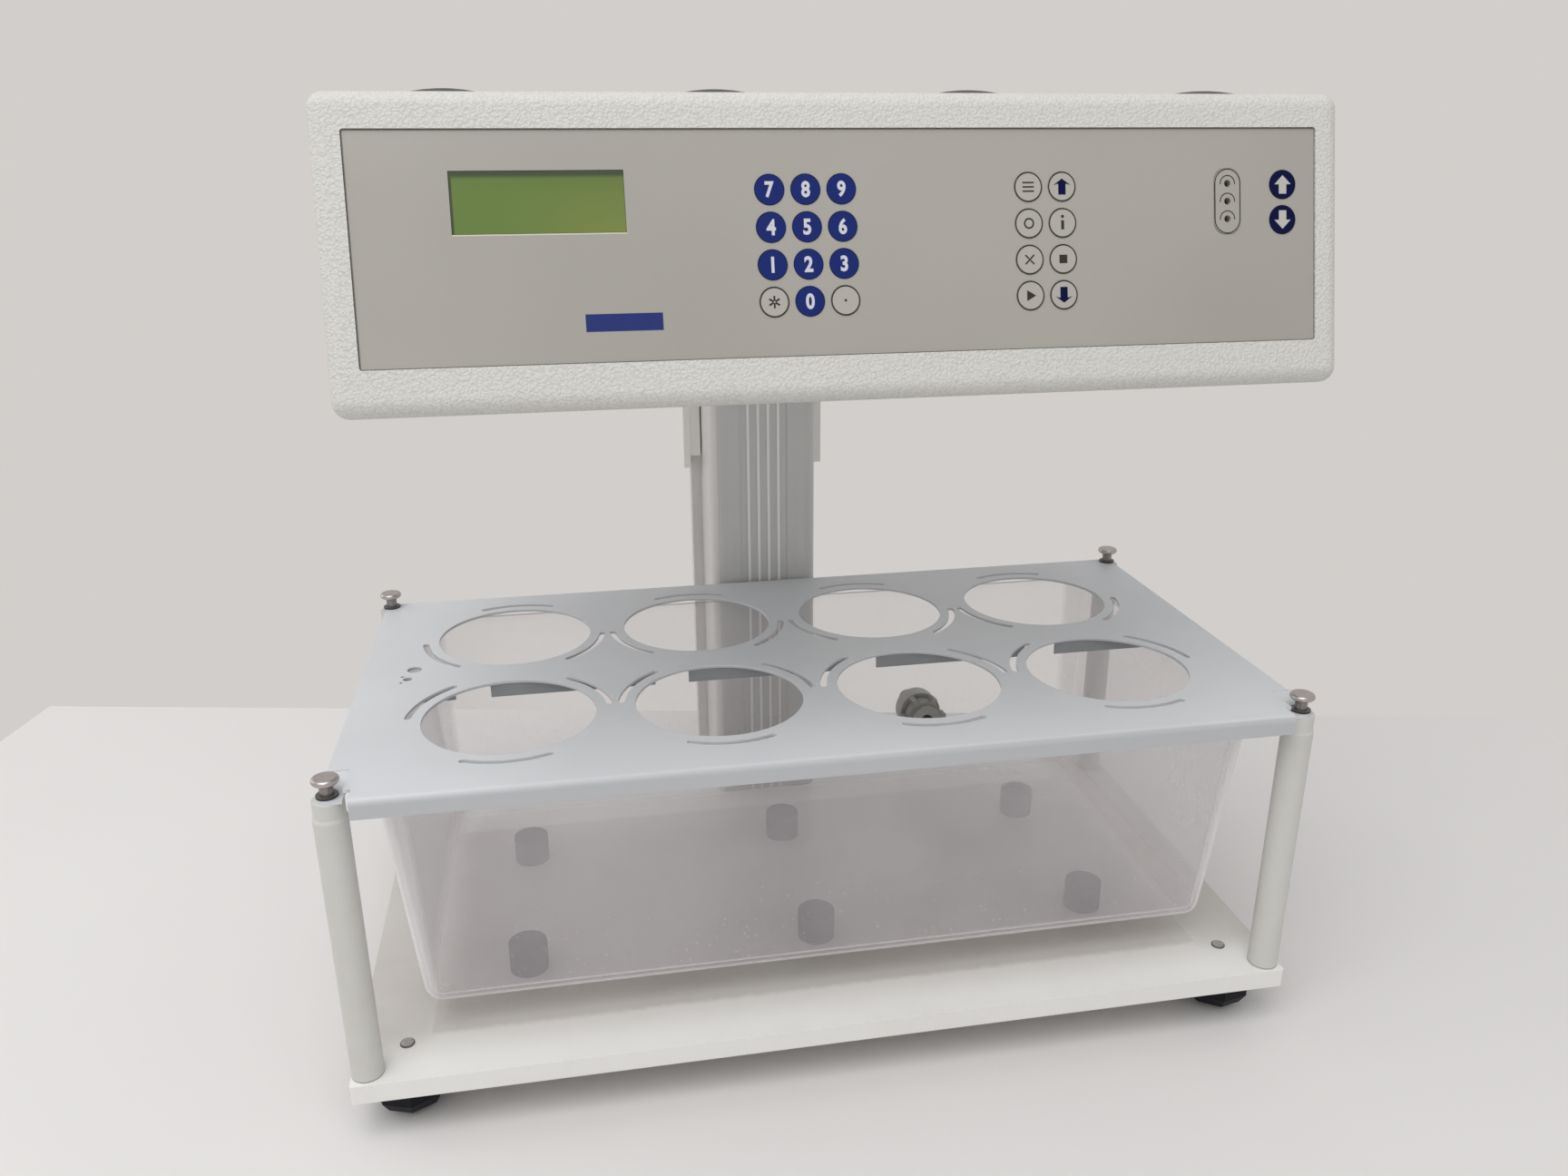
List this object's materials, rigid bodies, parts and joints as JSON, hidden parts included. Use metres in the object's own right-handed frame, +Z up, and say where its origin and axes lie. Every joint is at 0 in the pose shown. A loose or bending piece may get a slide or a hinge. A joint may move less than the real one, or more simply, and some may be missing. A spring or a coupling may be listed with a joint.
{
  "type": "tablet dissolution tester",
  "caption": "Laboratory tablet dissolution tester: a drive head with keypad on a lifting column, over a vessel plate and a clear water bath",
  "frame": {"origin": "on the bench, under the middle of the part's box", "axes": "+Z up, +Y away from the operator, +X to the operator's right"},
  "size_m": [0.612, 0.442, 0.5995],
  "materials": {
    "frame_paint": "light grey semi-gloss paint",
    "plate_paint": "light blue-grey satin paint",
    "head_paint": "off-white powder coat with a coarse grain",
    "dark_paint": "dark satin paint",
    "clear_bath": "clear moulded plastic, slightly hazy",
    "aluminium": "satin anodised",
    "steel": "turned stainless steel",
    "rubber": "dark grey rubber",
    "black_plastic": "black moulded plastic",
    "dark_plastic": "dark grey plastic",
    "grey_plastic": "grey moulded plastic",
    "panel_foil": "warm grey printed foil",
    "key_blue": "deep blue printed foil",
    "lcd": "olive green display window"
  },
  "bodies": {
    "stand": {"base_plate": "frame_paint", "posts": "frame_paint", "vessel_plate": "plate_paint", "plate_stiffener": "plate_paint", "water_bath": "clear_bath", "bath_feet": "rubber", "bath_connector": "grey_plastic", "column": "aluminium", "column_cap": "dark_plastic", "lift_motor": "dark_paint"},
    "head": {"head_shell": "head_paint", "head_floor": "aluminium", "control_panel": "panel_foil", "display": "lcd", "socket_strip": "grey_plastic", "carriage": "aluminium", "drive_motor": "dark_paint", "drive_belt": "rubber", "top_plugs": "dark_plastic", "spindle_bearings": "steel"},
    "lift_screw": {"lift_screw": "steel"},
    "leveling_foot_1": {"leveling_foot_1": "black_plastic"},
    "leveling_foot_2": {"leveling_foot_2": "black_plastic"},
    "leveling_foot_3": {"leveling_foot_3": "black_plastic"},
    "leveling_foot_4": {"leveling_foot_4": "black_plastic"},
    "thumb_screw_1": {"thumb_screw_1": "steel"},
    "thumb_screw_2": {"thumb_screw_2": "steel"},
    "thumb_screw_3": {"thumb_screw_3": "steel"},
    "thumb_screw_4": {"thumb_screw_4": "steel"},
    "spindle_1": {"spindle_1": "steel"},
    "spindle_2": {"spindle_2": "steel"},
    "spindle_3": {"spindle_3": "steel"},
    "spindle_4": {"spindle_4": "steel"},
    "spindle_5": {"spindle_5": "steel"},
    "spindle_6": {"spindle_6": "steel"},
    "spindle_7": {"spindle_7": "steel"},
    "spindle_8": {"spindle_8": "steel"},
    "motor_pulley": {"motor_pulley": "steel"},
    "key_f": {"key_f": "panel_foil"},
    "key_0": {"key_0": "key_blue"},
    "key_dot": {"key_dot": "panel_foil"},
    "key_1": {"key_1": "key_blue"},
    "key_2": {"key_2": "key_blue"},
    "key_3": {"key_3": "key_blue"},
    "key_4": {"key_4": "key_blue"},
    "key_5": {"key_5": "key_blue"},
    "key_6": {"key_6": "key_blue"},
    "key_7": {"key_7": "key_blue"},
    "key_8": {"key_8": "key_blue"},
    "key_9": {"key_9": "key_blue"},
    "key_start": {"key_start": "panel_foil"},
    "key_down": {"key_down": "panel_foil"},
    "key_clear": {"key_clear": "panel_foil"},
    "key_stop": {"key_stop": "panel_foil"},
    "key_set": {"key_set": "panel_foil"},
    "key_info": {"key_info": "panel_foil"},
    "key_menu": {"key_menu": "panel_foil"},
    "key_up": {"key_up": "panel_foil"},
    "key_lift_down": {"key_lift_down": "key_blue"},
    "key_lift_up": {"key_lift_up": "key_blue"}
  },
  "joints": [
    {"name": "lift", "type": "slide", "parent": "stand", "child": "head", "axis": [0, 0, 1], "range_m": [-0.13, 0]},
    {"name": "lift_screw_turn", "type": "hinge", "parent": "stand", "child": "lift_screw", "pos_m": [0, 0.16651, 0.043], "axis": [0, 0, 1], "range_deg": [-4690, 10]},
    {"name": "foot_turn_1", "type": "hinge", "parent": "stand", "child": "leveling_foot_1", "pos_m": [-0.2755, -0.15299, 0.03], "axis": [0, 0, 1], "continuous": true},
    {"name": "foot_turn_2", "type": "hinge", "parent": "stand", "child": "leveling_foot_2", "pos_m": [0.2755, -0.15299, 0.03], "axis": [0, 0, 1], "continuous": true},
    {"name": "foot_turn_3", "type": "hinge", "parent": "stand", "child": "leveling_foot_3", "pos_m": [-0.2755, 0.18701, 0.03], "axis": [0, 0, 1], "continuous": true},
    {"name": "foot_turn_4", "type": "hinge", "parent": "stand", "child": "leveling_foot_4", "pos_m": [0.2755, 0.18701, 0.03], "axis": [0, 0, 1], "continuous": true},
    {"name": "thumb_screw_turn_1", "type": "hinge", "parent": "stand", "child": "thumb_screw_1", "pos_m": [-0.29625, -0.17499, 0.2385], "axis": [0, 0, 1], "continuous": true},
    {"name": "thumb_screw_turn_2", "type": "hinge", "parent": "stand", "child": "thumb_screw_2", "pos_m": [0.29625, -0.17499, 0.2385], "axis": [0, 0, 1], "continuous": true},
    {"name": "thumb_screw_turn_3", "type": "hinge", "parent": "stand", "child": "thumb_screw_3", "pos_m": [-0.295, 0.11501, 0.2385], "axis": [0, 0, 1], "continuous": true},
    {"name": "thumb_screw_turn_4", "type": "hinge", "parent": "stand", "child": "thumb_screw_4", "pos_m": [0.295, 0.11501, 0.2385], "axis": [0, 0, 1], "continuous": true},
    {"name": "spindle_turn_1", "type": "hinge", "parent": "head", "child": "spindle_1", "pos_m": [-0.1989, -0.09879, 0.4635], "axis": [0, 0, 1], "continuous": true},
    {"name": "spindle_turn_2", "type": "hinge", "parent": "head", "child": "spindle_2", "pos_m": [-0.0663, -0.09879, 0.4635], "axis": [0, 0, 1], "continuous": true},
    {"name": "spindle_turn_3", "type": "hinge", "parent": "head", "child": "spindle_3", "pos_m": [0.0663, -0.09879, 0.4635], "axis": [0, 0, 1], "continuous": true},
    {"name": "spindle_turn_4", "type": "hinge", "parent": "head", "child": "spindle_4", "pos_m": [0.1989, -0.09879, 0.4635], "axis": [0, 0, 1], "continuous": true},
    {"name": "spindle_turn_5", "type": "hinge", "parent": "head", "child": "spindle_5", "pos_m": [-0.1989, 0.03681, 0.4635], "axis": [0, 0, 1], "continuous": true},
    {"name": "spindle_turn_6", "type": "hinge", "parent": "head", "child": "spindle_6", "pos_m": [-0.0663, 0.03681, 0.4635], "axis": [0, 0, 1], "continuous": true},
    {"name": "spindle_turn_7", "type": "hinge", "parent": "head", "child": "spindle_7", "pos_m": [0.0663, 0.03681, 0.4635], "axis": [0, 0, 1], "continuous": true},
    {"name": "spindle_turn_8", "type": "hinge", "parent": "head", "child": "spindle_8", "pos_m": [0.1989, 0.03681, 0.4635], "axis": [0, 0, 1], "continuous": true},
    {"name": "motor_turn", "type": "hinge", "parent": "head", "child": "motor_pulley", "pos_m": [0, 0.03681, 0.4635], "axis": [0, 0, 1], "continuous": true},
    {"name": "key_f_press", "type": "slide", "parent": "head", "child": "key_f", "axis": [0, 0.9715, -0.237], "range_m": [0, 0.0005], "stiffness_N_per_m": 400},
    {"name": "key_0_press", "type": "slide", "parent": "head", "child": "key_0", "axis": [0, 0.9715, -0.237], "range_m": [0, 0.0005], "stiffness_N_per_m": 400},
    {"name": "key_dot_press", "type": "slide", "parent": "head", "child": "key_dot", "axis": [0, 0.9715, -0.237], "range_m": [0, 0.0005], "stiffness_N_per_m": 400},
    {"name": "key_1_press", "type": "slide", "parent": "head", "child": "key_1", "axis": [0, 0.9715, -0.237], "range_m": [0, 0.0005], "stiffness_N_per_m": 400},
    {"name": "key_2_press", "type": "slide", "parent": "head", "child": "key_2", "axis": [0, 0.9715, -0.237], "range_m": [0, 0.0005], "stiffness_N_per_m": 400},
    {"name": "key_3_press", "type": "slide", "parent": "head", "child": "key_3", "axis": [0, 0.9715, -0.237], "range_m": [0, 0.0005], "stiffness_N_per_m": 400},
    {"name": "key_4_press", "type": "slide", "parent": "head", "child": "key_4", "axis": [0, 0.9715, -0.237], "range_m": [0, 0.0005], "stiffness_N_per_m": 400},
    {"name": "key_5_press", "type": "slide", "parent": "head", "child": "key_5", "axis": [0, 0.9715, -0.237], "range_m": [0, 0.0005], "stiffness_N_per_m": 400},
    {"name": "key_6_press", "type": "slide", "parent": "head", "child": "key_6", "axis": [0, 0.9715, -0.237], "range_m": [0, 0.0005], "stiffness_N_per_m": 400},
    {"name": "key_7_press", "type": "slide", "parent": "head", "child": "key_7", "axis": [0, 0.9715, -0.237], "range_m": [0, 0.0005], "stiffness_N_per_m": 400},
    {"name": "key_8_press", "type": "slide", "parent": "head", "child": "key_8", "axis": [0, 0.9715, -0.237], "range_m": [0, 0.0005], "stiffness_N_per_m": 400},
    {"name": "key_9_press", "type": "slide", "parent": "head", "child": "key_9", "axis": [0, 0.9715, -0.237], "range_m": [0, 0.0005], "stiffness_N_per_m": 400},
    {"name": "key_start_press", "type": "slide", "parent": "head", "child": "key_start", "axis": [0, 0.9715, -0.237], "range_m": [0, 0.0005], "stiffness_N_per_m": 400},
    {"name": "key_down_press", "type": "slide", "parent": "head", "child": "key_down", "axis": [0, 0.9715, -0.237], "range_m": [0, 0.0005], "stiffness_N_per_m": 400},
    {"name": "key_clear_press", "type": "slide", "parent": "head", "child": "key_clear", "axis": [0, 0.9715, -0.237], "range_m": [0, 0.0005], "stiffness_N_per_m": 400},
    {"name": "key_stop_press", "type": "slide", "parent": "head", "child": "key_stop", "axis": [0, 0.9715, -0.237], "range_m": [0, 0.0005], "stiffness_N_per_m": 400},
    {"name": "key_set_press", "type": "slide", "parent": "head", "child": "key_set", "axis": [0, 0.9715, -0.237], "range_m": [0, 0.0005], "stiffness_N_per_m": 400},
    {"name": "key_info_press", "type": "slide", "parent": "head", "child": "key_info", "axis": [0, 0.9715, -0.237], "range_m": [0, 0.0005], "stiffness_N_per_m": 400},
    {"name": "key_menu_press", "type": "slide", "parent": "head", "child": "key_menu", "axis": [0, 0.9715, -0.237], "range_m": [0, 0.0005], "stiffness_N_per_m": 400},
    {"name": "key_up_press", "type": "slide", "parent": "head", "child": "key_up", "axis": [0, 0.9715, -0.237], "range_m": [0, 0.0005], "stiffness_N_per_m": 400},
    {"name": "key_lift_down_press", "type": "slide", "parent": "head", "child": "key_lift_down", "axis": [0, 0.9715, -0.237], "range_m": [0, 0.0005], "stiffness_N_per_m": 400},
    {"name": "key_lift_up_press", "type": "slide", "parent": "head", "child": "key_lift_up", "axis": [0, 0.9715, -0.237], "range_m": [0, 0.0005], "stiffness_N_per_m": 400}
  ],
  "couplings": [
    {"joint": "lift_screw_turn", "follows": "lift", "rad_per_m": 628.32},
    {"joint": "spindle_turn_2", "follows": "spindle_turn_1", "ratio": 1},
    {"joint": "spindle_turn_3", "follows": "spindle_turn_1", "ratio": 1},
    {"joint": "spindle_turn_4", "follows": "spindle_turn_1", "ratio": 1},
    {"joint": "spindle_turn_5", "follows": "spindle_turn_1", "ratio": 1},
    {"joint": "spindle_turn_6", "follows": "spindle_turn_1", "ratio": 1},
    {"joint": "spindle_turn_7", "follows": "spindle_turn_1", "ratio": 1},
    {"joint": "spindle_turn_8", "follows": "spindle_turn_1", "ratio": 1},
    {"joint": "motor_turn", "follows": "spindle_turn_1", "ratio": 1.25}
  ]
}
